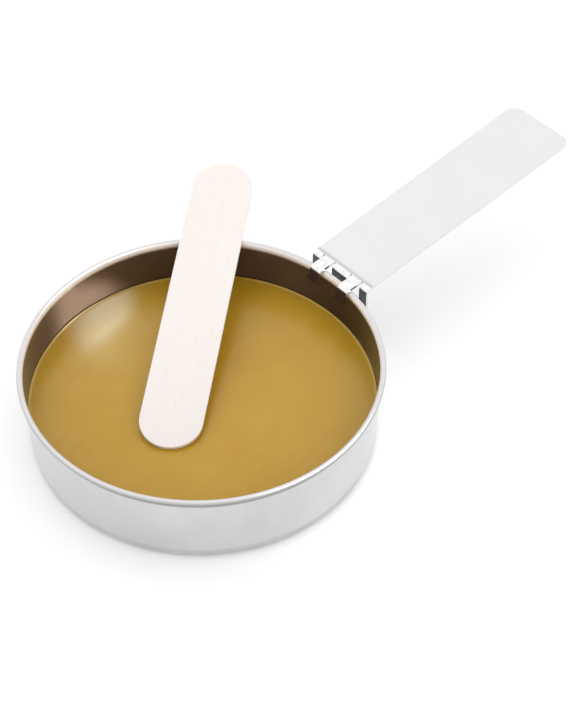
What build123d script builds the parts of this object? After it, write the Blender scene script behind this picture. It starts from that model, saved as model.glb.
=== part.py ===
"""Wax warming pan: a drawn metal cup with a rolled rim, a fill of hard wax, a stamped handle whose
fork slips over the rim, and a wooden spatula that leans from the wax to the rim.

+Z up, origin at the centre of the pan's flat base, +X along the handle. Millimetres.
"""

from build123d import *
from math import asin, cos, radians, sin, tan
import os

# ---- driving dimensions -------------------------------------------------------------------------
# pan: one drawn sheet, its edge rolled outwards
rim_d = 103.2
pan_h = 25.6
pan_sheet = 0.5
roll_d = 1.6
roll_turn = 285.0  # degrees the sheet turns through in the roll
base_d = 99.0  # over the wall, where it meets the corner above the base
corner_r = 3.0

# wax
wax_top = 11.9
wax_gap = 0.02  # between the wax and the metal it was cast in

# handle: one stamped sheet, cut into five fingers at the rim
handle_sheet = 0.8
blade_len = 83.6
blade_w_root = 22.6
blade_w_tip = 24.0
blade_corner_r = 3.8
blade_edge = 0.2  # rounding of the blade's sheared edges
blade_rise = 5.0  # degrees that the blade climbs away from the pan
bend_r = 1.4  # of the sheet's middle, in every bend
leg_gap = 1.3  # legs to the outside of the roll
leg_drop = 11.0
hook_gap = 0.2  # hooks to the top of the roll
hook_bend_x = 50.25  # centre of the hooks' bend, from the pan's centre
hook_w = 3.9
hook_pitch = 11.4
hook_drop = 3.6
hook_flare = 26.0  # degrees that their ends lean away from the wall, to ride down over the roll
slit = 0.6  # between a hook and the legs beside it
level_bend_r = 8.0  # of the sheet's middle, where the hooks leave the blade's slope

# spatula: a flat wooden stick with round ends
spatula_len = 100.0
spatula_w = 18.0
spatula_t = 1.1
spatula_edge = 0.45  # rounding of its edges
spatula_dir = 38.2  # which way it points, degrees from +X
crossing_dir = 45.5  # where its middle line crosses the rim, degrees from +X
spatula_slope = 11.0
rest_gap = 0.05  # spatula to the wax and to the rim

# ---- worked out from them -----------------------------------------------------------------------
roll_r = roll_d / 2
roll_x = rim_d / 2 - roll_r
roll_z = pan_h - roll_r
half_sheet = pan_sheet / 2
foot_x = base_d / 2 - half_sheet  # middle of the wall's sheet just above the corner
lip_x = roll_x - roll_r + half_sheet  # and where the roll starts


def inside_wall(height):
    """Radius of the wall's inner face at a height above the corner."""
    return foot_x - half_sheet + (lip_x - foot_x) * (height - corner_r) / (roll_z - corner_r)


# ---- pan ----------------------------------------------------------------------------------------
with BuildPart() as pan_shell:
    with BuildSketch(Plane.XZ):
        with BuildLine():
            floor = Line((0, half_sheet), (foot_x - corner_r + half_sheet, half_sheet))
            corner = JernArc(floor @ 1, (1, 0), corner_r - half_sheet, 90)
            Line(corner @ 1, (lip_x, roll_z))
            CenterArc((roll_x, roll_z), roll_r - half_sheet, 180, -roll_turn)
        trace(line_width=pan_sheet)
    revolve()
pan_shell.part.label = "pan_shell"

# ---- wax ----------------------------------------------------------------------------------------
wax_floor = pan_sheet + wax_gap
wax_corner_r = corner_r - pan_sheet
wax_foot_r = inside_wall(corner_r) - wax_gap

with BuildPart() as wax_fill:
    with BuildSketch(Plane.XZ):
        with BuildLine():
            bottom = Line((0, wax_floor), (wax_foot_r - wax_corner_r, wax_floor))
            turn = JernArc(bottom @ 1, (1, 0), wax_corner_r, 90)
            side = Line(turn @ 1, (inside_wall(wax_top) - wax_gap, wax_top))
            Polyline(side @ 1, (0, wax_top), bottom @ 0)
        make_face()
    revolve()
wax_fill.part.label = "wax_fill"

# ---- handle -------------------------------------------------------------------------------------
half_thick = handle_sheet / 2
leg_x = rim_d / 2 + leg_gap + half_thick
crease = (leg_x + bend_r * (1 - sin(radians(blade_rise))), pan_h + hook_gap + half_thick)
uphill = (cos(radians(blade_rise)), sin(radians(blade_rise)))
downhill = (-uphill[0], -uphill[1])
underside_z = crease[1] - half_thick

middle_leg_w = hook_pitch - hook_w - 2 * slit
side_leg_w = blade_w_root / 2 - (hook_pitch + hook_w) / 2 - slit
side_leg_y = (blade_w_root - side_leg_w) / 2

blade_plane = Plane(
    origin=(crease[0], 0, crease[1]),
    x_dir=(uphill[0], 0, uphill[1]),
    z_dir=(-uphill[1], 0, uphill[0]),
)

with BuildPart() as handle:
    with BuildSketch(blade_plane):
        with BuildLine():
            Polyline(
                (0, blade_w_root / 2),
                (0, -blade_w_root / 2),
                (blade_len, -blade_w_tip / 2),
                (blade_len, blade_w_tip / 2),
                close=True,
            )
        make_face()
        fillet(vertices().group_by(Axis.X)[-1], blade_corner_r)
    extrude(amount=half_thick, both=True)
    broad_faces = faces().sort_by(SortBy.AREA)[-2:]
    fillet(broad_faces.edges().filter_by(lambda edge: edge.center().X > crease[0] + 1), blade_edge)

    # three legs bend down outside the rim
    for y, width in ((0, middle_leg_w), (side_leg_y, side_leg_w), (-side_leg_y, side_leg_w)):
        with BuildSketch(Plane.XZ.offset(-y)):
            with BuildLine():
                bend = JernArc(crease, downhill, bend_r, 90 - blade_rise)
                Line(bend @ 1, (leg_x, underside_z - leg_drop))
            trace(line_width=handle_sheet)
        extrude(amount=width / 2, both=True)

    # two hooks level out over the rim and turn down inside the wall
    for y in (hook_pitch / 2, -hook_pitch / 2):
        with BuildSketch(Plane.XZ.offset(-y)):
            with BuildLine():
                level = JernArc(crease, downhill, level_bend_r, -blade_rise)
                over = Line(level @ 1, (hook_bend_x, (level @ 1).Y))
                down = JernArc(over @ 1, (-1, 0), bend_r, 90 - hook_flare)
                fall = (down @ 1).Y - (underside_z - hook_drop)
                Line(down @ 1, down @ 1 - Vector(fall * tan(radians(hook_flare)), fall))
            trace(line_width=handle_sheet)
        extrude(amount=hook_w / 2, both=True)
handle.part.label = "handle"

# ---- spatula ------------------------------------------------------------------------------------
# It lies on the wax at the rim of its lower round end, and on the roll at both of its long edges.
slope = radians(spatula_slope)
pointing = radians(spatula_dir)
crossing = radians(crossing_dir)
climb = tan(slope) * cos(crossing - pointing)  # rise per millimetre along the stick, seen from above
edge_turn = asin(spatula_w / 2 / roll_x)
crossing_z = roll_z + (roll_r + rest_gap) / cos(slope) + tan(slope) * roll_x * (1 - cos(edge_turn))
low_end_z = wax_top + rest_gap + spatula_w / 2 * sin(slope)
run = (crossing_z - low_end_z) / climb

spatula_plane = Plane(
    origin=(
        roll_x * cos(crossing) - run * cos(pointing),
        roll_x * sin(crossing) - run * sin(pointing),
        low_end_z,
    ),
    x_dir=(cos(pointing), sin(pointing), climb),
    z_dir=(-sin(slope) * cos(crossing), -sin(slope) * sin(crossing), cos(slope)),
)

with BuildPart() as spatula:
    with BuildSketch(spatula_plane):
        with Locations(((spatula_len - spatula_w) / 2, 0)):
            SlotOverall(spatula_len, spatula_w)
    extrude(amount=spatula_t)
    broad_faces = faces().sort_by(SortBy.AREA)[-2:]
    fillet(broad_faces.edges(), spatula_edge)
spatula.part.label = "spatula"

# ---- export -------------------------------------------------------------------------------------
os.makedirs("parts", exist_ok=True)
for piece in (pan_shell, wax_fill, handle, spatula):
    export_step(piece.part, f"parts/{piece.part.label}.step")
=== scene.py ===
# %% [markdown]
# # A pan of hard wax, with its clip-on handle and stick
#
# The object is a shallow metal pan half full of amber wax. A stamped handle hooks over its rolled
# rim, and a wooden stick leans from the wax to the rim. Its working model already has real sizes
# and joints, so this lesson only gives it its looks: each plain node is replaced by a finished
# piece of the same size in the same place.

# %% Load the working model
from math import cos, hypot, pi, radians, sin, sqrt, tan

import bmesh
import bpy
from mathutils import Matrix, Vector


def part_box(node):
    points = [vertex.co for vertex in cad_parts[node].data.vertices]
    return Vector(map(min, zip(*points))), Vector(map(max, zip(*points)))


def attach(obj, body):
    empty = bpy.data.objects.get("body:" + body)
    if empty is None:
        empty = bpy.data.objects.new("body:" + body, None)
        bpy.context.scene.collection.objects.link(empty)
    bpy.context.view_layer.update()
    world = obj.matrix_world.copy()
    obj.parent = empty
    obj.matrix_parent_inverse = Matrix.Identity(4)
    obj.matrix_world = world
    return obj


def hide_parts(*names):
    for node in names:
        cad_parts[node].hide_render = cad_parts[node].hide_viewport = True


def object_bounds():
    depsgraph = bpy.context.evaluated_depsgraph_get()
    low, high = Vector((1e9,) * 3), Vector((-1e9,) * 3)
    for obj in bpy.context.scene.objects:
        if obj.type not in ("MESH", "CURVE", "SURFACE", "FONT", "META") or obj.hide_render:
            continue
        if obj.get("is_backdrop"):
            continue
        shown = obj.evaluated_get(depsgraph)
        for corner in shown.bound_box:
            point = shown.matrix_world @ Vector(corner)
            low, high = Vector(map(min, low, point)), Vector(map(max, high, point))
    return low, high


mm = 0.001  # everything is in metres, so 3 * mm reads as three millimetres

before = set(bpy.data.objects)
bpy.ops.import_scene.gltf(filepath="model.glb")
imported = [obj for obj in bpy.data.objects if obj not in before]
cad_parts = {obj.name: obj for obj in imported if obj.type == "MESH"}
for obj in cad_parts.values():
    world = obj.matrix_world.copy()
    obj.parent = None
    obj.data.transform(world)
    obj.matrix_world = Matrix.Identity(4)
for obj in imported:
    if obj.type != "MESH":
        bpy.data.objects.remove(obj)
cad_low, cad_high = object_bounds()
print("size in mm:", [round(side / mm, 1) for side in cad_high - cad_low])

# %% [markdown]
# ## The camera
#
# A long lens at a good distance keeps round things looking round. The camera could be dragged into
# place by hand, but a direction, a distance and a point to look at are easy to reason about and to
# change, so it is placed by those.

# %% Place the camera
view_azimuth = radians(-42.12)
view_elevation = radians(45.8)
view_roll = radians(-0.4)
view_distance = 0.646
look_at = Vector((0, 0, 20 * mm))
aim_right = 23.3 * mm  # how far the lens points to the right of that, and above it
aim_up = 6.3 * mm
lens_mm = 117.0
sensor_mm = 36.0

toward_camera = Vector((
    sin(view_azimuth) * cos(view_elevation),
    -cos(view_azimuth) * cos(view_elevation),
    sin(view_elevation),
))
camera_turn = toward_camera.to_track_quat("Z", "Y").to_matrix() @ Matrix.Rotation(view_roll, 3, "Z")
aim = look_at + camera_turn @ Vector((aim_right, aim_up, 0))


def put_in_scene(name, data):
    """An object that holds the data, linked to the scene."""
    made = bpy.data.objects.new(name, data)
    bpy.context.scene.collection.objects.link(made)
    return made


camera = put_in_scene("camera", bpy.data.cameras.new("camera"))
camera.data.sensor_width = sensor_mm
camera.data.lens = lens_mm
camera.data.clip_start = 10 * mm
camera.matrix_world = Matrix.Translation(aim + toward_camera * view_distance) @ camera_turn.to_4x4()
bpy.context.scene.camera = camera
print("camera at", [round(value, 3) for value in camera.matrix_world.translation])

# %% [markdown]
# ## Wiring nodes with plain expressions
#
# Materials and Geometry Nodes are both node trees, and both can use the same Math node. Nodes can
# be placed and linked one by one, but a formula then takes a page. A small class that wraps a
# node's output lets a sum be written as a sum instead: `1 - mask` adds a Math node that subtracts.

# %% A wire that can be added, multiplied and so on
class Wire:
    """A node's output, which Python's operators understand."""

    def __init__(self, bench, socket):
        self.bench = bench
        self.socket = socket

    def maths(self, operation, first, second):
        return self.bench.node("ShaderNodeMath", {"operation": operation}, {0: first, 1: second})

    def __add__(self, other):
        return self.maths("ADD", self, other)

    def __radd__(self, other):
        return self.maths("ADD", other, self)

    def __sub__(self, other):
        return self.maths("SUBTRACT", self, other)

    def __rsub__(self, other):
        return self.maths("SUBTRACT", other, self)

    def __mul__(self, other):
        return self.maths("MULTIPLY", self, other)

    def __rmul__(self, other):
        return self.maths("MULTIPLY", other, self)

    def __truediv__(self, other):
        return self.maths("DIVIDE", self, other)

    def __rtruediv__(self, other):
        return self.maths("DIVIDE", other, self)

    def __pow__(self, other):
        return self.maths("POWER", self, other)


print("a wire's sums go through", Wire.maths.__name__)

# %% [markdown]
# Everything that isn't a sum goes through one method, which adds any node, sets it and links it.
# The few nodes that are used again and again get a short name of their own.

# %% A bench for wiring nodes
class Bench:
    """A node tree that is being wired."""

    def __init__(self, tree):
        self.tree = tree

    def node(self, kind, settings=None, inputs=None, output=0):
        made = self.tree.nodes.new(kind)
        for name, value in (settings or {}).items():
            setattr(made, name, value)
        for key, value in (inputs or {}).items():
            if isinstance(value, Wire):
                self.tree.links.new(value.socket, made.inputs[key])
            else:
                made.inputs[key].default_value = value
        return Wire(self, made.outputs[output])

    def split(self, vector):
        """The x, y and z of a vector."""
        first = self.node("ShaderNodeSeparateXYZ", {}, {0: vector})
        return [Wire(self, socket) for socket in first.socket.node.outputs]

    def vector(self, x, y, z):
        return self.node("ShaderNodeCombineXYZ", {}, {0: x, 1: y, 2: z})

    def stretch(self, vector, x, y, z):
        inputs = {0: vector, 1: (x, y, z)}
        return self.node("ShaderNodeVectorMath", {"operation": "MULTIPLY"}, inputs)

    def outwards(self, x, y):
        """The direction out from the Z axis, as its x and y."""
        flat = self.vector(x, y, 0.0)
        out = self.node("ShaderNodeVectorMath", {"operation": "NORMALIZE"}, {0: flat})
        return self.split(out)[:2]

    def noise(self, vector, scale=1.0, detail=3.0, roughness=0.5):
        inputs = {"Vector": vector, "Scale": scale, "Detail": detail, "Roughness": roughness}
        return self.node("ShaderNodeTexNoise", {}, inputs)

    def ramp(self, value, start, end):
        """0 before start, 1 past end, and a smooth step between them."""
        inputs = {"Value": value, "From Min": start, "From Max": end}
        return self.node("ShaderNodeMapRange", {"interpolation_type": "SMOOTHSTEP"}, inputs)

    def blend(self, factor, first, second):
        """The first colour where the factor is 0, and the second where it is 1."""
        inputs = {0: factor, 6: first, 7: second}
        return self.node("ShaderNodeMix", {"data_type": "RGBA"}, inputs, output=2)


print("the bench's tools:", ", ".join(name for name in vars(Bench) if not name.startswith("_")))

# %% [markdown]
# A finish is a material with one shader. What is the same all over the piece is set on the
# shader's own sockets, and only what changes over the surface is wired. Fine relief is a bump with
# a real depth, because lines a few thousandths of a millimetre deep need no geometry.

# %% Start a finish, plug it and give it relief
def finish_named(name, **constants):
    """A material with its shader's constants set, and the bench to wire the rest on."""
    material = bpy.data.materials.new(name)
    material.use_nodes = True
    shader = material.node_tree.nodes["Principled BSDF"]
    for key, value in constants.items():
        shader.inputs[key.replace("_", " ")].default_value = value
    return material, Bench(material.node_tree), shader


def plug(bench, shader, **wires):
    for key, wire in wires.items():
        bench.tree.links.new(wire.socket, shader.inputs[key.replace("_", " ")])


def relief(bench, height, depth):
    """A bump of a real depth in metres."""
    return bench.node("ShaderNodeBump", {}, {"Strength": 1.0, "Distance": depth, "Height": height})


_, pan_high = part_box("pan_shell")
rim_z = pan_high.z
rim_r = pan_high.x
print("the rim is", round(rim_z / mm, 1), "mm up and", round(rim_r / mm, 1), "mm out")

# %% [markdown]
# ## The pan's metal
#
# A pan like this is pressed from a flat disc of aluminium. That leaves faint upright streaks on the
# wall and rings on the base where the disc was turned against the tool. A faint dark line is
# painted low on the wall where it curves into the base, as painted shade. The roll is bright on
# top; its lower outer side is painted darker, and a band beneath the roll is painted dark, both as
# painted shade. A picture of brushed metal would pinch on the base and stretch on the roll. Noise
# squeezed sideways does neither, and it reads the direction out from the pan's axis, which has no
# seam, where an angle would have one at the back.

# %% Bare metal
base_top = 0.2 * mm  # the rings give way to the streaks between these two heights
base_edge = 0.6 * mm


def bare_metal():
    material, bench, shader = finish_named("bare_metal", Metallic=1.0)
    place = bench.node("ShaderNodeTexCoord", output="Object")
    x, y, z = bench.split(place)
    out_x, out_y = bench.outwards(x, y)
    distance = (x * x + y * y) ** 0.5
    streaks = bench.noise(bench.vector(out_x * 45.0, out_y * 45.0, z * 60.0))
    rings = bench.noise(bench.vector(distance * 2600.0, 0.0, 0.0), roughness=0.6)
    on_base = bench.ramp(z, base_edge, base_top)
    lines = streaks * (1 - on_base) + rings * on_base
    clouds = bench.noise(place, scale=70.0)
    specks = bench.ramp(bench.noise(place, scale=2400.0, detail=2.0), 0.66, 0.74)

    tone = bench.ramp(clouds * 0.7 + streaks * 0.3, 0.3, 0.7)
    colour = bench.blend(tone, (0.60, 0.60, 0.607, 1), (0.655, 0.655, 0.667, 1))
    colour = bench.blend(specks * 0.12, colour, (0.45, 0.44, 0.43, 1))
    on_roll = bench.ramp(z, rim_z - 1.4 * mm, rim_z - 0.8 * mm)
    colour = bench.blend(on_roll * 0.7, colour, (0.64, 0.615, 0.61, 1))
    # Painted shade: the roll's lower outer side is painted darker.
    shaded_roll_side = on_roll * bench.ramp(z, rim_z - 0.08 * mm, rim_z - 0.4 * mm)
    colour = bench.blend(shaded_roll_side * 0.85, colour, (0.42, 0.42, 0.41, 1))
    # Painted shade: a dark band on the wall just under the roll.
    under_roll = bench.ramp(z, rim_z - 3.4 * mm, rim_z - 2.8 * mm)
    shade_under_roll = under_roll * bench.ramp(z, rim_z - 0.5 * mm, rim_z - 1.1 * mm)
    # Painted shade: a faint dark line where the wall curves into the base.
    corner_shade_line = bench.ramp(z, 4.0 * mm, 3.1 * mm) * bench.ramp(z, 2.0 * mm, 2.8 * mm)
    colour = bench.blend(shade_under_roll * 0.75 + corner_shade_line * 0.22, colour, (0.20, 0.20, 0.19, 1))

    roughness = 0.17 + 0.07 * clouds + 0.06 * lines
    height = lines * 0.6 + bench.noise(place, scale=1500.0, detail=2.0) * 0.4
    bump = relief(bench, height, 0.0025 * mm)
    plug(bench, shader, Base_Color=colour, Roughness=roughness, Normal=bump)
    return material


bare = bare_metal()
print("made", bare.name, "from", len(bare.node_tree.nodes), "nodes")

# %% [markdown]
# ## The inside of the pan
#
# The inside wears a thin brown lacquer that keeps the wax off the metal. It could be plain paint
# with a gloss, or metal with a tint. The real one is between the two, so its metallic value is
# about three quarters, and it mirrors the wax softly. One side of it is painted darker, as painted
# shade. Where the sheet turns over into the roll the lacquer thins out, and that band is painted
# pale pink and made less metallic, partly as the thin lacquer and partly as a painted highlight on
# the rim. Just above the fill a thin dark band with an uneven edge is painted, as painted shade
# where the wax meets the wall.

# %% Lacquered metal
wax_low, wax_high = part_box("wax_fill")
shaded_side_angle = radians(-38)  # the side painted darker as shade, from +X


def lacquered_metal():
    material, bench, shader = finish_named("lacquered_metal")
    place = bench.node("ShaderNodeTexCoord", output="Object")
    x, y, z = bench.split(place)
    out_x, out_y = bench.outwards(x, y)
    streaks = bench.noise(bench.vector(out_x * 60.0, out_y * 60.0, z * 90.0))
    clouds = bench.noise(place, scale=90.0)

    colour = bench.blend(clouds, (0.122, 0.097, 0.094, 1), (0.156, 0.125, 0.120, 1))
    # Painted shade: a thin dark band with an uneven edge just above the fill, where the wax meets
    # the wall; the bump also raises it a little.
    shade_line = wax_high.z + 0.5 * mm + 0.7 * mm * bench.noise(place, scale=190.0)
    painted_shade = bench.ramp(z - shade_line, 0.4 * mm, -0.3 * mm)
    colour = bench.blend(painted_shade * 0.7, colour, (0.085, 0.045, 0.010, 1))
    # Painted shade: one side of the inside is painted darker.
    toward_shaded_side = out_x * cos(shaded_side_angle) + out_y * sin(shaded_side_angle)
    shaded_side_mask = bench.ramp(toward_shaded_side + 0.1 * clouds, 0.55, 0.98)
    colour = bench.blend(shaded_side_mask * 0.85, colour, (0.034, 0.020, 0.010, 1))
    # Where the sheet turns over into the roll the band is painted pale pink and made less metallic,
    # partly as thinner lacquer and partly as a painted highlight on the rim.
    worn_and_sheen = bench.ramp(z + 0.3 * mm * clouds, rim_z - 2.4 * mm, rim_z - 0.8 * mm)
    colour = bench.blend(worn_and_sheen, colour, (0.88, 0.82, 0.80, 1))

    roughness = 0.225 + 0.03 * clouds + 0.008 * streaks + 0.10 * worn_and_sheen
    metallic = 0.78 - 0.68 * worn_and_sheen
    height = streaks * 0.15 + bench.noise(place, scale=900.0, detail=2.0) * 0.2 + painted_shade * 0.5
    bump = relief(bench, height, 0.0015 * mm)
    plug(bench, shader, Base_Color=colour, Roughness=roughness, Metallic=metallic, Normal=bump)
    return material


lacquered = lacquered_metal()
print("made", lacquered.name, "with a tide line above", round(wax_high.z / mm, 1), "mm")

# %% [markdown]
# ## Turning a section round an axis
#
# The pan and the wax are both turned shapes: a section carried round the Z axis. A lathe tool
# would do that too, but Geometry Nodes can do it by a rule that also sways the sheet and paints
# its two sides. First the rule's tree is given its inputs, so that both pieces can use it.

# %% The turning rule's inputs
turning = bpy.data.node_groups.new("turned_section", "GeometryNodeTree")
for name, kind in (
    ("Section", "Geometry"),
    ("Steps around", "Int"),
    ("Sideways sway", "Float"),
    ("Upright sway", "Float"),
    ("Sway size", "Float"),
    ("Level below which it is true", "Float"),
    ("First inside point", "Int"),
    ("Outside finish", "Material"),
    ("Inside finish", "Material"),
):
    turning.interface.new_socket(name, in_out="INPUT", socket_type="NodeSocket" + kind)
turning.interface.new_socket("Piece", in_out="OUTPUT", socket_type="NodeSocketGeometry")

wiring = Bench(turning)
group_input = turning.nodes.new("NodeGroupInput")
given = {socket.name: Wire(wiring, socket) for socket in group_input.outputs}
print("a turned piece is given:", ", ".join(name for name in given if name))

# %% [markdown]
# A flat grid has one column of points for each step round the axis and one row for each point of
# the section. Every grid point looks up its section point and turns it by its column's angle. The
# row number is kept, because it later tells the inside of the sheet from the outside.

# %% Carry the section round
def carried_round(bench):
    """The section turned into a surface, and each point's row number."""
    count = bench.node(
        "GeometryNodeAttributeDomainSize", {"component": "MESH"}, {"Geometry": given["Section"]}
    )
    columns = given["Steps around"] + 1
    grid = bench.node(
        "GeometryNodeMeshGrid", {},
        {"Size X": 1.0, "Size Y": 1.0, "Vertices X": columns, "Vertices Y": count},
    )
    here = bench.node("GeometryNodeInputPosition")
    across, along, _ = bench.split(here)
    row = bench.node("ShaderNodeMath", {"operation": "ROUND"}, {0: (along + 0.5) * (count - 1)})
    kept = bench.tree.nodes.new("GeometryNodeCaptureAttribute")
    kept.capture_items.new("FLOAT", "row")
    bench.tree.links.new(grid.socket, kept.inputs["Geometry"])
    bench.tree.links.new(row.socket, kept.inputs["row"])
    point = bench.node(
        "GeometryNodeSampleIndex", {"data_type": "FLOAT_VECTOR", "domain": "POINT"},
        {"Geometry": given["Section"], "Value": here, "Index": row},
    )
    turned = bench.node(
        "ShaderNodeVectorRotate", {"rotation_type": "Z_AXIS"},
        {"Vector": point, "Angle": (across + 0.5) * (2 * pi)},
    )
    surface = bench.node(
        "GeometryNodeSetPosition", {},
        {"Geometry": Wire(bench, kept.outputs["Geometry"]), "Position": turned},
    )
    return surface, Wire(bench, kept.outputs["row"])


surface, row_number = carried_round(wiring)
print("the rule turns a section with", len(turning.nodes), "nodes")

# %% [markdown]
# A perfect mirror of a perfect circle never looks made. So smooth noise, which is the same every
# time, sways the surface by hundredths of a millimetre, and leaves it true near its base, where it
# has to stand flat. Then the seam is closed and the two sides of the sheet get their finishes.

# %% Sway it, close it and paint it
sway_fades_over = 6 * mm
seam_gap = 0.001 * mm


def swayed(bench, shape):
    place = bench.node("GeometryNodeInputPosition")
    x, y, z = bench.split(place)
    out_x, out_y = bench.outwards(x, y)
    sway = bench.noise(place, scale=1 / given["Sway size"], detail=2.0) - 0.5
    true_below = given["Level below which it is true"]
    free = bench.ramp(z, true_below, true_below + sway_fades_over)
    sideways = sway * free * given["Sideways sway"]
    upright = sway * free * given["Upright sway"]
    offset = bench.vector(out_x * sideways, out_y * sideways, upright)
    return bench.node("GeometryNodeSetPosition", {}, {"Geometry": shape, "Offset": offset})


def closed_and_painted(bench, shape, row):
    merge = {"Geometry": shape, "Distance": seam_gap}
    shape = bench.node("GeometryNodeMergeByDistance", {}, merge)
    shape = bench.node("GeometryNodeSetShadeSmooth", {}, {"Geometry": shape})
    shape = bench.node("GeometryNodeRealizeInstances", {}, {"Geometry": shape})
    outside = {"Geometry": shape, "Material": given["Outside finish"]}
    shape = bench.node("GeometryNodeSetMaterial", {}, outside)
    is_inside = bench.node(
        "FunctionNodeCompare", {"data_type": "FLOAT", "operation": "GREATER_THAN"},
        {"A": row, "B": given["First inside point"]},
    )
    inside = {"Geometry": shape, "Selection": is_inside, "Material": given["Inside finish"]}
    return bench.node("GeometryNodeSetMaterial", {}, inside)


painted = closed_and_painted(wiring, swayed(wiring, surface), row_number)
result = turning.nodes.new("NodeGroupOutput")
turning.links.new(painted.socket, result.inputs["Piece"])
print("the whole rule has", len(turning.nodes), "nodes")

# %% [markdown]
# A modifier runs the rule on a section, and its result is then made a plain mesh. A section that
# runs the other way round gives faces that point inwards, so the mesh's volume is measured, and
# the faces are flipped if it is negative.

# %% Run the rule on a section
def face_outwards(mesh):
    """Turns a closed mesh's faces outwards if they enclose a negative volume."""
    shell = bmesh.new()
    shell.from_mesh(mesh)
    if shell.calc_volume(signed=True) < 0:
        bmesh.ops.reverse_faces(shell, faces=shell.faces)
    shell.to_mesh(mesh)
    shell.free()


def plain_piece(name, rough):
    """The rough object as its modifiers leave it, as a plain mesh; the rough object goes."""
    bpy.context.view_layer.update()
    solid = rough.evaluated_get(bpy.context.evaluated_depsgraph_get())
    piece = put_in_scene(name, bpy.data.meshes.new_from_object(solid))
    bpy.data.objects.remove(rough)
    return piece


def turned_piece(name, section, **values):
    """A section, as (radius, height) points from the axis and back to it, turned into a mesh."""
    mesh = bpy.data.meshes.new(name + "_section")
    edges = [(index, index + 1) for index in range(len(section) - 1)]
    mesh.from_pydata([(radius, 0, height) for radius, height in section], edges, [])
    rough = put_in_scene(name + "_section", mesh)
    rule = rough.modifiers.new("turned", "NODES")
    rule.node_group = turning
    inputs = [item for item in turning.interface.items_tree if item.in_out == "INPUT"]
    sockets = {item.name: item.identifier for item in inputs}
    for key, value in values.items():
        rule[sockets[key.replace("_", " ")]] = value
    piece = plain_piece(name, rough)
    face_outwards(piece.data)
    return piece


print("a section can be turned now")

# %% [markdown]
# ## The pan
#
# The whole pan is one sheet: floor, corner, wall, and an edge rolled outwards into a bead. It could
# be built as a solid with a hole cut out, but a sheet is drawn more simply: once along its middle,
# and then each point is moved half the sheet's thickness to either side. The lines and arcs for
# that come first.

# %% Draw sections
def arc(centre, radius, start, turn, steps):
    """Points on an arc, from start through turn, both in radians."""
    angles = [start + turn * step / steps for step in range(steps + 1)]
    return [(centre[0] + radius * cos(angle), centre[1] + radius * sin(angle)) for angle in angles]


def line(start, end, steps):
    """Points from start to end, leaving the last one out."""
    run, climb = end[0] - start[0], end[1] - start[1]
    shares = [step / steps for step in range(steps)]
    return [(start[0] + run * share, start[1] + climb * share) for share in shares]


def beside(points, offset):
    """The same line, moved sideways by offset to the left of its direction."""
    moved = []
    for index, point in enumerate(points):
        before = points[max(index - 1, 0)]
        after = points[min(index + 1, len(points) - 1)]
        run, climb = after[0] - before[0], after[1] - before[1]
        shift = offset / hypot(run, climb)
        moved.append((max(point[0] - climb * shift, 0.0), point[1] + run * shift))
    return moved


print("a quarter circle in 6 steps has", len(arc((0, 0), 1, 0, pi / 2, 6)), "points")

# %% [markdown]
# The roll is hollow and stops just short of the wall, which gives part of the dark line under the
# rim; the rest is painted shade on the bare metal. The lacquer ends a few points into the roll,
# where the sheet turns over.

# %% Draw and turn the pan
sheet = 0.5 * mm
roll_r = 0.8 * mm
roll_turn = radians(285)
base_r = 49.5 * mm
corner_r = 3 * mm
corner_mid_r = corner_r - sheet / 2  # along the middle of the sheet
roll_centre = (rim_r - roll_r, rim_z - roll_r)
floor_steps, corner_steps, wall_steps, roll_steps = 24, 12, 30, 40
bare_roll_points = 34  # of the roll's hidden side, counted from its end

foot = (base_r - sheet / 2, corner_r)
lip = (roll_centre[0] - roll_r + sheet / 2, roll_centre[1])
floor_end = (foot[0] - corner_r + sheet / 2, sheet / 2)
middle = line((0, sheet / 2), floor_end, floor_steps)
middle += arc((floor_end[0], corner_r), corner_mid_r, -pi / 2, pi / 2, corner_steps)
middle += line(foot, lip, wall_steps)[1:]
middle += arc(roll_centre, roll_r - sheet / 2, pi, -roll_turn, roll_steps)

outer_side = beside(middle, -sheet / 2)
inner_side = beside(middle, sheet / 2)
pan = turned_piece(
    "drawn_pan",
    outer_side + inner_side[::-1],
    Steps_around=288,
    Sideways_sway=0.12 * mm,
    Upright_sway=0.06 * mm,
    Sway_size=22 * mm,
    Level_below_which_it_is_true=0.5 * mm,
    First_inside_point=len(middle) + bare_roll_points,
    Outside_finish=bare,
    Inside_finish=lacquered,
)
print("the pan has", len(pan.data.polygons), "faces")

# %% [markdown]
# ## The wax
#
# Hard wax sets with a skin that mirrors the sky softly, over a cloudy body that light enters and
# leaves. It could be made as tinted glass full of haze, which is slow and noisy. Subsurface
# scattering gives the same depth for a piece this thick, and faint clouds in the colour stand for
# resin that hasn't mixed evenly.

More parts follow.
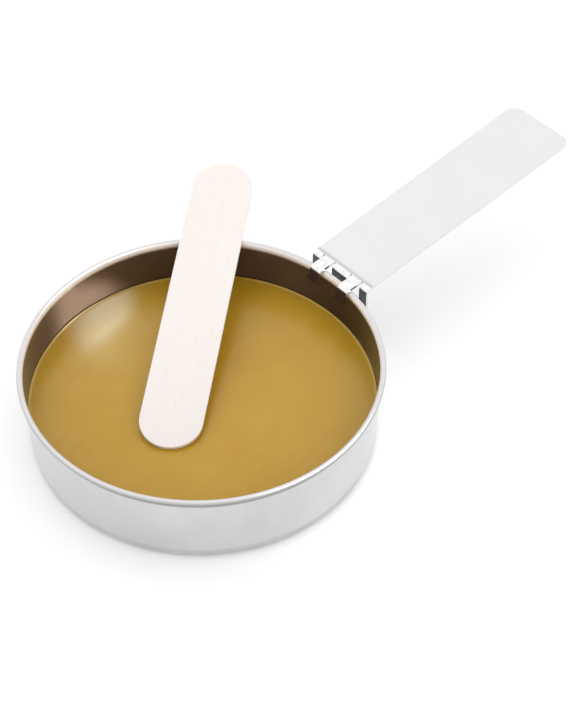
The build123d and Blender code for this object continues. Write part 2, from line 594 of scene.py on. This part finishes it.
# %% Wax finish
def wax_finish():
    material, bench, shader = finish_named(
        "set_wax",
        Subsurface_Weight=0.35,
        Subsurface_Radius=(4 * mm, 1.6 * mm, 0.4 * mm),
        Subsurface_Scale=1.0,
        IOR=1.45,
        Coat_Roughness=0.30,
    )
    place = bench.node("ShaderNodeTexCoord", output="Object")
    clouds = bench.ramp(bench.noise(place, scale=38.0, detail=4.0, roughness=0.55), 0.3, 0.7)
    swirls = bench.ramp(bench.noise(bench.stretch(place, 1.0, 2.4, 1.0), scale=120.0), 0.35, 0.7)
    motes = bench.ramp(bench.noise(place, scale=1300.0, detail=1.0), 0.74, 0.80)

    colour = bench.blend(clouds, (0.440, 0.247, 0.013, 1), (0.470, 0.272, 0.018, 1))
    colour = bench.blend(swirls * 0.25, colour, (0.49, 0.295, 0.027, 1))
    colour = bench.blend(motes * 0.3, colour, (0.30, 0.16, 0.01, 1))
    roughness = 0.19 + 0.04 * clouds + 0.03 * swirls
    coat = 0.04 + 0.04 * clouds
    ripples = bench.noise(place, scale=420.0)
    pits = bench.noise(place, scale=1800.0, detail=2.0)
    bump = relief(bench, ripples * 0.3 + pits * 0.15, 0.01 * mm)
    plug(bench, shader, Base_Color=colour, Roughness=roughness, Coat_Weight=coat, Normal=bump)
    return material


wax_colour = wax_finish()
print("made", wax_colour.name, "from", len(wax_colour.node_tree.nodes), "nodes")

# %% [markdown]
# The fill is turned from a section too. It stands a hair clear of the metal, so that the two don't
# cut through each other, and where it touches the wall it climbs in a small curve, as wax does
# when it sets.

# %% Turn the wax
clear = 0.03 * mm  # between the wax and the metal
climb_r = 0.9 * mm
climb_h = 0.35 * mm
climb_steps = 12

level = wax_high.z
wax_r = wax_high.x
wax_floor = wax_low.z
lower_r = base_r - sheet - clear
wax_corner_r = corner_r - sheet
wax_corner = (lower_r - wax_corner_r, wax_floor + wax_corner_r)

wax_section = line((0, wax_floor), (wax_corner[0], wax_floor), 12)
wax_section += arc(wax_corner, wax_corner_r, -pi / 2, pi / 2, 6)
wax_section += line((lower_r, corner_r), (wax_r, level), 10)[1:]
for step in range(climb_steps + 1):
    reach = climb_r * step / climb_steps
    wax_section.append((wax_r - reach, level + climb_h * (1 - reach / climb_r) ** 2))
wax_section += line((wax_r - climb_r, level), (0, level), 60)[1:] + [(0, level)]
wax = turned_piece(
    "set_wax_fill",
    wax_section,
    Steps_around=256,
    Sideways_sway=0.0,
    Upright_sway=0.07 * mm,
    Sway_size=30 * mm,
    Level_below_which_it_is_true=4 * mm,
    First_inside_point=len(wax_section),
    Outside_finish=wax_colour,
    Inside_finish=wax_colour,
)
print("the wax has", len(wax.data.polygons), "faces")

# %% [markdown]
# ## The handle's metal
#
# The handle is plated steel. Its blade has a fine grain along its length from the strip it was cut
# from, and handling has dulled it in patches. Its cut edges are painted a little lighter, partly as
# plain cut metal and partly as a painted highlight. The bends are painted bright as a painted
# highlight, behind a dark line painted as the reflection a polished bend shows. The inner faces of
# the fingers are painted dark, brown over the wax and grey outside the rim, as painted shade. Each
# of these could be painted by hand on the mesh. Masks worked out from a point's place and from the
# way its surface faces need no painting, and stay sharp close up.

# %% Sizes of the handle
strip = 0.8 * mm  # thickness of its sheet
rise = radians(5)
bend_r = 1.4 * mm
leg_gap = 1.3 * mm
leg_drop = 11 * mm
hook_bend_x = 50.25 * mm
hook_drop = 3.6 * mm
hook_flare = radians(26)
level_bend_r = 8 * mm
handle_low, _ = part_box("handle")
leg_x = rim_r + leg_gap + strip / 2
crease_x = leg_x + bend_r * (1 - sin(rise))
crease_z = handle_low.z + leg_drop + strip / 2
print("the handle bends", round(crease_x / mm, 1), "mm out and", round(crease_z / mm, 1), "mm up")

# %% Plated steel
def plated_steel():
    material, bench, shader = finish_named("plated_steel", Metallic=1.0)
    place = bench.node("ShaderNodeTexCoord", output="Object")
    x, y, z = bench.split(place)
    grain = bench.noise(bench.vector(x * 90.0, y * 5200.0, z * 90.0), detail=4.0, roughness=0.6)
    rubbed = bench.ramp(bench.noise(place, scale=55.0, detail=4.0, roughness=0.6), 0.35, 0.7)
    paths = bench.noise(bench.vector(x * 320.0 + y * 150.0, y * 4200.0, 0.0), detail=1.0)
    scratches = bench.ramp(paths, 0.73, 0.77)

    bends = bench.ramp(x, crease_x + 0.3 * mm, crease_x - 0.2 * mm)
    # Painted reflection: a dark line just before the bends, as a polished bend shows one.
    painted_crease_line = bench.ramp(x, crease_x + 1.7 * mm, crease_x + 0.5 * mm) * (1 - bends)
    facing_x, _, facing_z = bench.split(bench.node("ShaderNodeNewGeometry", output="Normal"))
    # Cut edges are painted a little lighter, partly as plain cut metal and partly as a painted
    # highlight.
    cut_edge_and_sheen = bench.ramp(facing_z * facing_z, 0.6, 0.25) * (1 - bends)
    # Painted shade: the inner faces of the fingers below the crease are painted dark, brown over
    # the wax and grey outside the rim.
    below_bend = bench.ramp(z, crease_z - 0.3 * mm, crease_z - 0.9 * mm)
    inner_face = below_bend * bench.ramp(facing_x, -0.25, -0.55)
    over_wax = bench.ramp(x, crease_x - 2.5 * mm, crease_x - 3 * mm)
    painted_shade = bench.blend(over_wax, (0.13, 0.145, 0.145, 1), (0.042, 0.018, 0.012, 1))
    # Painted highlight: the bends are painted bright, broken up by fine noise.
    crazing = bench.noise(place, scale=650.0, detail=2.0)
    painted_bend_highlight = bench.blend(crazing, (0.62, 0.62, 0.61, 1), (0.95, 0.945, 0.935, 1))

    colour = bench.blend(rubbed, (0.70, 0.70, 0.70, 1), (0.72, 0.72, 0.725, 1))
    colour = bench.blend(painted_crease_line * 0.75, colour, (0.46, 0.465, 0.46, 1))
    colour = bench.blend(cut_edge_and_sheen, colour, (0.74, 0.74, 0.735, 1))
    colour = bench.blend(bends, colour, painted_bend_highlight)
    colour = bench.blend(inner_face * 0.98, colour, painted_shade)
    on_blade = 0.26 + 0.08 * rubbed + 0.06 * grain - 0.06 * scratches
    roughness = on_blade * (1 - 0.4 * bends) + 0.15 * inner_face
    waves = bench.noise(place, scale=260.0, detail=2.0)
    bump = relief(bench, grain * 0.6 - scratches * 0.6 + waves * 0.8, 0.006 * mm)
    plug(bench, shader, Base_Color=colour, Roughness=roughness, Normal=bump)
    return material


steel = plated_steel()
print("made", steel.name, "from", len(steel.node_tree.nodes), "nodes")

# %% [markdown]
# ## The handle
#
# A press cuts the handle flat and then bends it, and the mesh is made in that order too. Cutting
# the fingers out of a bent solid would leave ragged faces at the slits. The blank is instead a
# grid of quads with an edge on every cut, and each finger is laid along its own path: the legs
# turn down outside the rim, and the hooks run level over it and turn down inside, with their ends
# leaning away from the wall so that they ride down over the roll.

# %% The fingers' paths
bend_steps = 12


def leg_path():
    """From the crease down outside the rim, as (x, z) points along the middle of the sheet."""
    centre = (crease_x + bend_r * sin(rise), crease_z - bend_r * cos(rise))
    bend = arc(centre, bend_r, pi / 2 + rise, pi / 2 - rise, bend_steps)
    end = (leg_x, crease_z - strip / 2 - leg_drop)
    return bend[:-1] + line(bend[-1], end, 6) + [end]


def hook_path():
    """From the crease level over the rim and down inside the wall."""
    centre = (crease_x - level_bend_r * sin(rise), crease_z + level_bend_r * cos(rise))
    levelling = arc(centre, level_bend_r, rise - pi / 2, -rise, 4)
    down_centre = (hook_bend_x, levelling[-1][1] - bend_r)
    down = arc(down_centre, bend_r, pi / 2, pi / 2 - hook_flare, bend_steps)
    end_z = crease_z - strip / 2 - hook_drop
    end = (down[-1][0] - (down[-1][1] - end_z) * tan(hook_flare), end_z)
    over = levelling[:-1] + line(levelling[-1], down[0], 4)
    return over + down[:-1] + line(down[-1], end, 4) + [end]


print("a leg follows", len(leg_path()), "points and a hook", len(hook_path()))

# %% [markdown]
# The blade is a stack of rows, one for each stop along it. The stops crowd together at the tip,
# where the rows shrink to round its corners.

# %% Rows of the blade
blade_len = 83.6 * mm
root_half = 11.3 * mm
tip_half = 12.0 * mm
tip_corner_r = 3.8 * mm
cuts = (3.15 * mm, 3.75 * mm, 7.65 * mm, 8.25 * mm, root_half)  # edges of the fingers
blade_step = blade_len / 30
straight_rows = 28
tip_steps = 12


def blade_half(along):
    """Half the blade's width, which shrinks over the last stretch to round the corners."""
    straight = root_half + (tip_half - root_half) * along / blade_len
    into_corner = max(along - (blade_len - tip_corner_r), 0)
    return straight - tip_corner_r + sqrt(max(tip_corner_r ** 2 - into_corner ** 2, 0))


def blade_rows(shell):
    """The blade's points, in one row across it for each stop from the crease to the tip."""
    tip_start = blade_len - tip_corner_r
    turns = [pi / 2 * step / tip_steps for step in range(tip_steps + 1)]
    stops = [blade_step * step for step in range(straight_rows)]
    stops += [tip_start + tip_corner_r * sin(turn) for turn in turns]
    across = [-cut for cut in reversed(cuts)] + list(cuts)
    rows = []
    for along in stops:
        x = crease_x + along * cos(rise)
        z = crease_z + along * sin(rise)
        scale = blade_half(along) / root_half
        rows.append([shell.verts.new((x, y * scale, z)) for y in across])
    return rows


print("the tip is", round(2 * blade_half(blade_len) / mm, 1), "mm wide between its corners")

# %% [markdown]
# Solidify gives a flat shape its thickness, and Bevel breaks its edges so that the light catches
# them. The stick is made the same way later, so both steps go into one helper.

# %% Fill the rows, bend the fingers and give the sheet its thickness
handle_edge = 0.12 * mm


def band(shell, rows):
    """Fills quads between rows of vertices."""
    for lower, upper in zip(rows, rows[1:]):
        for index in range(len(lower) - 1):
            shell.faces.new((lower[index], lower[index + 1], upper[index + 1], upper[index]))


def as_mesh(name, shell):
    """A flat shape as a mesh, with its faces turned the same way."""
    bmesh.ops.recalc_face_normals(shell, faces=shell.faces)
    mesh = bpy.data.meshes.new(name)
    shell.to_mesh(mesh)
    shell.free()
    return mesh


def bent_handle():
    shell = bmesh.new()
    rows = blade_rows(shell)
    band(shell, rows)
    leg, hook = leg_path(), hook_path()
    for number, path in enumerate((leg, hook, leg, hook, leg)):
        finger = [rows[0][2 * number:2 * number + 2]]
        for x, z in path[1:]:
            finger.append([shell.verts.new((x, corner.co.y, z)) for corner in finger[0]])
        band(shell, finger)
    return as_mesh("bent_handle", shell)


def thickened(name, mesh, thickness, edge, finish):
    """A flat shape given its thickness and softened edges, as a plain mesh."""
    for polygon in mesh.polygons:
        polygon.use_smooth = True
    blank = put_in_scene(name + "_blank", mesh)
    wall = blank.modifiers.new("thickness", "SOLIDIFY")
    wall.thickness = thickness
    wall.offset = 0.0
    wall.use_even_offset = True
    soft = blank.modifiers.new("edges", "BEVEL")
    soft.width = edge
    soft.segments = 3
    soft.limit_method = "ANGLE"
    soft.angle_limit = radians(35)
    soft.harden_normals = True
    piece = plain_piece(name, blank)
    piece.data.materials.clear()
    piece.data.materials.append(finish)
    return piece


handle = thickened("clip_handle", bent_handle(), strip, handle_edge, steel)
print("the handle has", len(handle.data.polygons), "faces")

# %% [markdown]
# ## The stick's wood
#
# A waxing stick is sliced from pale birch along the grain and left bare. So the pattern is long
# soft bands, fine fibres and short darker pores, all running along the stick. A picture of wood
# would run across the ends' cut faces, where noise squeezed along the stick passes right through
# it. The coordinates are first turned to lie along the stick.

# %% Where the stick lies
stick_low, stick_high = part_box("spatula")
stick_centre = (stick_low + stick_high) / 2
stick_len = 100 * mm
stick_w = 18 * mm
stick_t = 1.1 * mm
stick_dir = radians(38.2)  # which way it points, from +X
crossing_dir = radians(45.5)  # where it crosses the rim, from +X
stick_slope = radians(11)

stick_up = Vector((
    -sin(stick_slope) * cos(crossing_dir),
    -sin(stick_slope) * sin(crossing_dir),
    cos(stick_slope),
))
stick_climb = tan(stick_slope) * cos(crossing_dir - stick_dir)
stick_along = Vector((cos(stick_dir), sin(stick_dir), stick_climb)).normalized()
stick_across = stick_up.cross(stick_along)
stick_frame = Matrix((stick_along, stick_across, stick_up)).transposed()
print("the stick's middle is", round(stick_centre.z / mm, 1), "mm up")

# %% Birch
def birch():
    material, bench, shader = finish_named("birch", IOR=1.45)
    place = bench.node("ShaderNodeTexCoord", output="Object")
    from_centre = {0: place, 1: stick_centre}
    centred = bench.node("ShaderNodeVectorMath", {"operation": "SUBTRACT"}, from_centre)
    dot = {"operation": "DOT_PRODUCT"}
    x, y, z = (
        bench.node("ShaderNodeVectorMath", dot, {0: centred, 1: axis}, output="Value")
        for axis in (stick_along, stick_across, stick_up)
    )
    drift = bench.noise(bench.vector(x * 14.0, y * 60.0, 0.0), detail=2.0) * (4 * mm)
    bands = bench.noise(bench.vector(x * 9.0, (y + drift) * 420.0, z * 300.0))
    fibres = bench.noise(bench.vector(x * 120.0, (y + drift) * 5200.0, z * 900.0), roughness=0.6)
    dashes = bench.noise(bench.vector(x * 260.0, y * 3600.0, z * 500.0), detail=1.0)
    pores = bench.ramp(dashes, 0.68, 0.74)

    colour = bench.blend(bands, (0.755, 0.695, 0.665, 1), (0.80, 0.75, 0.725, 1))
    colour = bench.blend(fibres * 0.3, colour, (0.74, 0.67, 0.62, 1))
    colour = bench.blend(pores * 0.3, colour, (0.64, 0.50, 0.37, 1))
    roughness = 0.52 + 0.14 * fibres
    bump = relief(bench, fibres * 0.7 - pores * 0.8 + bands * 0.3, 0.02 * mm)
    plug(bench, shader, Base_Color=colour, Roughness=roughness, Normal=bump)
    return material


wood = birch()
print("made", wood.name, "from", len(wood.node_tree.nodes), "nodes")

# %% [markdown]
# ## The stick
#
# The stick is a flat slat with two full round ends and its long edges rubbed smooth. An outline
# filled with one face would do for a flat slat. A grid whose rows narrow to nothing at both ends
# keeps its faces square and lets it bow by a few hundredths of a millimetre, as thin wood does. It
# is laid out flat and then put in its place by moving its points, so its object stays at the
# origin.

# %% Shape the stick
stick_edge = 0.45 * mm
bow_h = 0.08 * mm
end_steps = 16
middle_steps = 10  # from the centre to where a round end starts
half_columns = 4


def slat():
    shell = bmesh.new()
    half_len = stick_len / 2
    half_w = stick_w / 2
    turns = [pi / 2 * step / end_steps for step in range(end_steps + 1)]
    stops = [-half_len + half_w * (1 - cos(turn)) for turn in turns]
    stops += [
        step * (half_len - half_w) / middle_steps for step in range(1 - middle_steps, middle_steps)
    ]
    stops += [half_len - half_w * (1 - cos(turn)) for turn in reversed(turns)]
    columns = [step / half_columns for step in range(-half_columns, half_columns + 1)]
    rows = []
    for along in stops:
        into_end = max(abs(along) - (half_len - half_w), 0)
        half = sqrt(max(half_w ** 2 - into_end ** 2, 0))
        bow = bow_h * cos(pi * along / stick_len)
        rows.append([shell.verts.new((along, half * column, bow)) for column in columns])
    band(shell, rows)
    bmesh.ops.remove_doubles(shell, verts=shell.verts, dist=seam_gap)
    mesh = as_mesh("slat", shell)
    mesh.transform(Matrix.Translation(stick_centre) @ stick_frame.to_4x4())
    return mesh


stick = thickened("waxing_stick", slat(), stick_t, stick_edge, wood)
print("the stick has", len(stick.data.polygons), "faces")

# %% [markdown]
# ## Fasten the pieces to the moving bodies
#
# Each finished piece rides on the body that its plain node belongs to, and stands in for that node.

# %% Ride and replace
for piece, body, node, slot_name in (
    (pan, "pan", "pan_shell", "pan_metal"),
    (wax, "pan", "wax_fill", "wax"),
    (handle, "handle", "handle", "handle_metal"),
    (stick, "spatula", "spatula", "birch"),
):
    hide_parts(node)
    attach(piece, body)
    print(piece.name, "rides on", body)

# %% [markdown]
# ## The set
#
# The floor is a plain pale sheet that runs out of sight on all sides. It could curve up into a
# backdrop, but from this height only the flat part would show.

# %% Lay the floor
floor_reach = 3.0


def pale_floor():
    pale = (0.93, 0.93, 0.93, 1)
    material, _, shader = finish_named("pale_floor", Base_Color=pale, Roughness=0.9)
    shader.inputs["Specular IOR Level"].default_value = 0.1
    mesh = bpy.data.meshes.new("floor")
    sides = ((-1, -1), (1, -1), (1, 1), (-1, 1))
    corners = [(x * floor_reach, y * floor_reach, 0) for x, y in sides]
    mesh.from_pydata(corners, [], [(0, 1, 2, 3)])
    mesh.materials.append(material)
    return put_in_scene("floor", mesh)


floor = pale_floor()
floor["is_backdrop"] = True
print("the floor is", 2 * floor_reach, "m wide")

# %% [markdown]
# The light is soft and comes from all round, as in a white tent: a bright world, and a weak panel
# behind the pan and to the left, which draws the shadow to the right. Only matt light is wanted
# from that panel, so no gloss shows it.
#
# A studio also sets up cards that are only there to be mirrored. One stands on the right for the
# pan's metal. A second, beside it, is mirrored by the wax, and its gleam shows again in the
# lacquered wall. A very small lamp close to the wax draws the sheen on it, and the stick shades
# that lamp. These three give no matt light, and light linking keeps each on its own piece.

# %% Hang the lights
tent_glow = 1.22


def panel(name, azimuth, elevation, distance, wide, high, glow, lean=0, aim=(0, 0, 0)):
    """A rectangular light of a given brightness. Its azimuth is counted from the camera's own."""
    turn = radians(azimuth) + view_azimuth
    lift = radians(elevation)
    lamp = put_in_scene(name, bpy.data.lights.new(name, "AREA"))
    lamp.data.shape = "RECTANGLE"
    lamp.data.size = wide
    lamp.data.size_y = high
    lamp.data.energy = glow * pi * wide * high
    away = Vector((sin(turn) * cos(lift), -cos(turn) * cos(lift), sin(lift)))
    facing = away.to_track_quat("Z", "Y").to_matrix() @ Matrix.Rotation(radians(lean), 3, "Z")
    lamp.matrix_world = Matrix.Translation(Vector(aim) + away * distance) @ facing.to_4x4()
    return lamp


def only_mirrored_by(piece, lamp):
    lamp.visible_diffuse = False
    lamp.visible_camera = False
    lamp.light_linking.receiver_collection = bpy.data.collections.new("lit_by_" + lamp.name)
    lamp.light_linking.receiver_collection.objects.link(piece)


world = bpy.data.worlds.new("white_tent")
world.use_nodes = True
world.node_tree.nodes["Background"].inputs["Color"].default_value = (1, 1, 1, 1)
world.node_tree.nodes["Background"].inputs["Strength"].default_value = tent_glow
bpy.context.scene.world = world

key = panel("back_key", azimuth=-125, elevation=60, distance=0.8, wide=0.30, high=0.30, glow=1.3)
key.visible_glossy = False
print("the tent and", key.name, "are lit")

# %% Hang the cards and the small lamp
wall_card = panel(
    "wall_card", azimuth=76, elevation=45, distance=0.8, wide=0.60, high=0.22, glow=17
)
wax_card = panel("wax_card", azimuth=83, elevation=45, distance=0.8, wide=0.48, high=0.20, glow=85)
wax_card.data.color = (1.0, 0.80, 0.60)
glint = panel(
    "wax_glint", azimuth=-173.7, elevation=44.7, distance=23 * mm, wide=17 * mm, high=2 * mm,
    glow=85, lean=33.5, aim=(0, 43.5 * mm, wax_high.z),
)
glint.data.color = (0.82, 1.0, 0.95)
for lamp, piece in ((wall_card, pan), (wax_card, wax), (glint, wax)):
    only_mirrored_by(piece, lamp)
    print(lamp.name, "is only mirrored by", piece.name)
glint.light_linking.blocker_collection = bpy.data.collections.new("shades_" + glint.name)
glint.light_linking.blocker_collection.objects.link(stick)
bpy.context.scene.view_settings.view_transform = "Standard"

# %% [markdown]
# ## Compare the sizes
#
# The finished pieces must stay the size of the working model, so how much the overall box grew is
# printed.

# %% Write the sizes and finish
new_low, new_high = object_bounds()
grown = [(new - old) / mm for new, old in zip(new_high - new_low, cad_high - cad_low)]
print("grew by mm:", [round(side, 2) for side in grown])
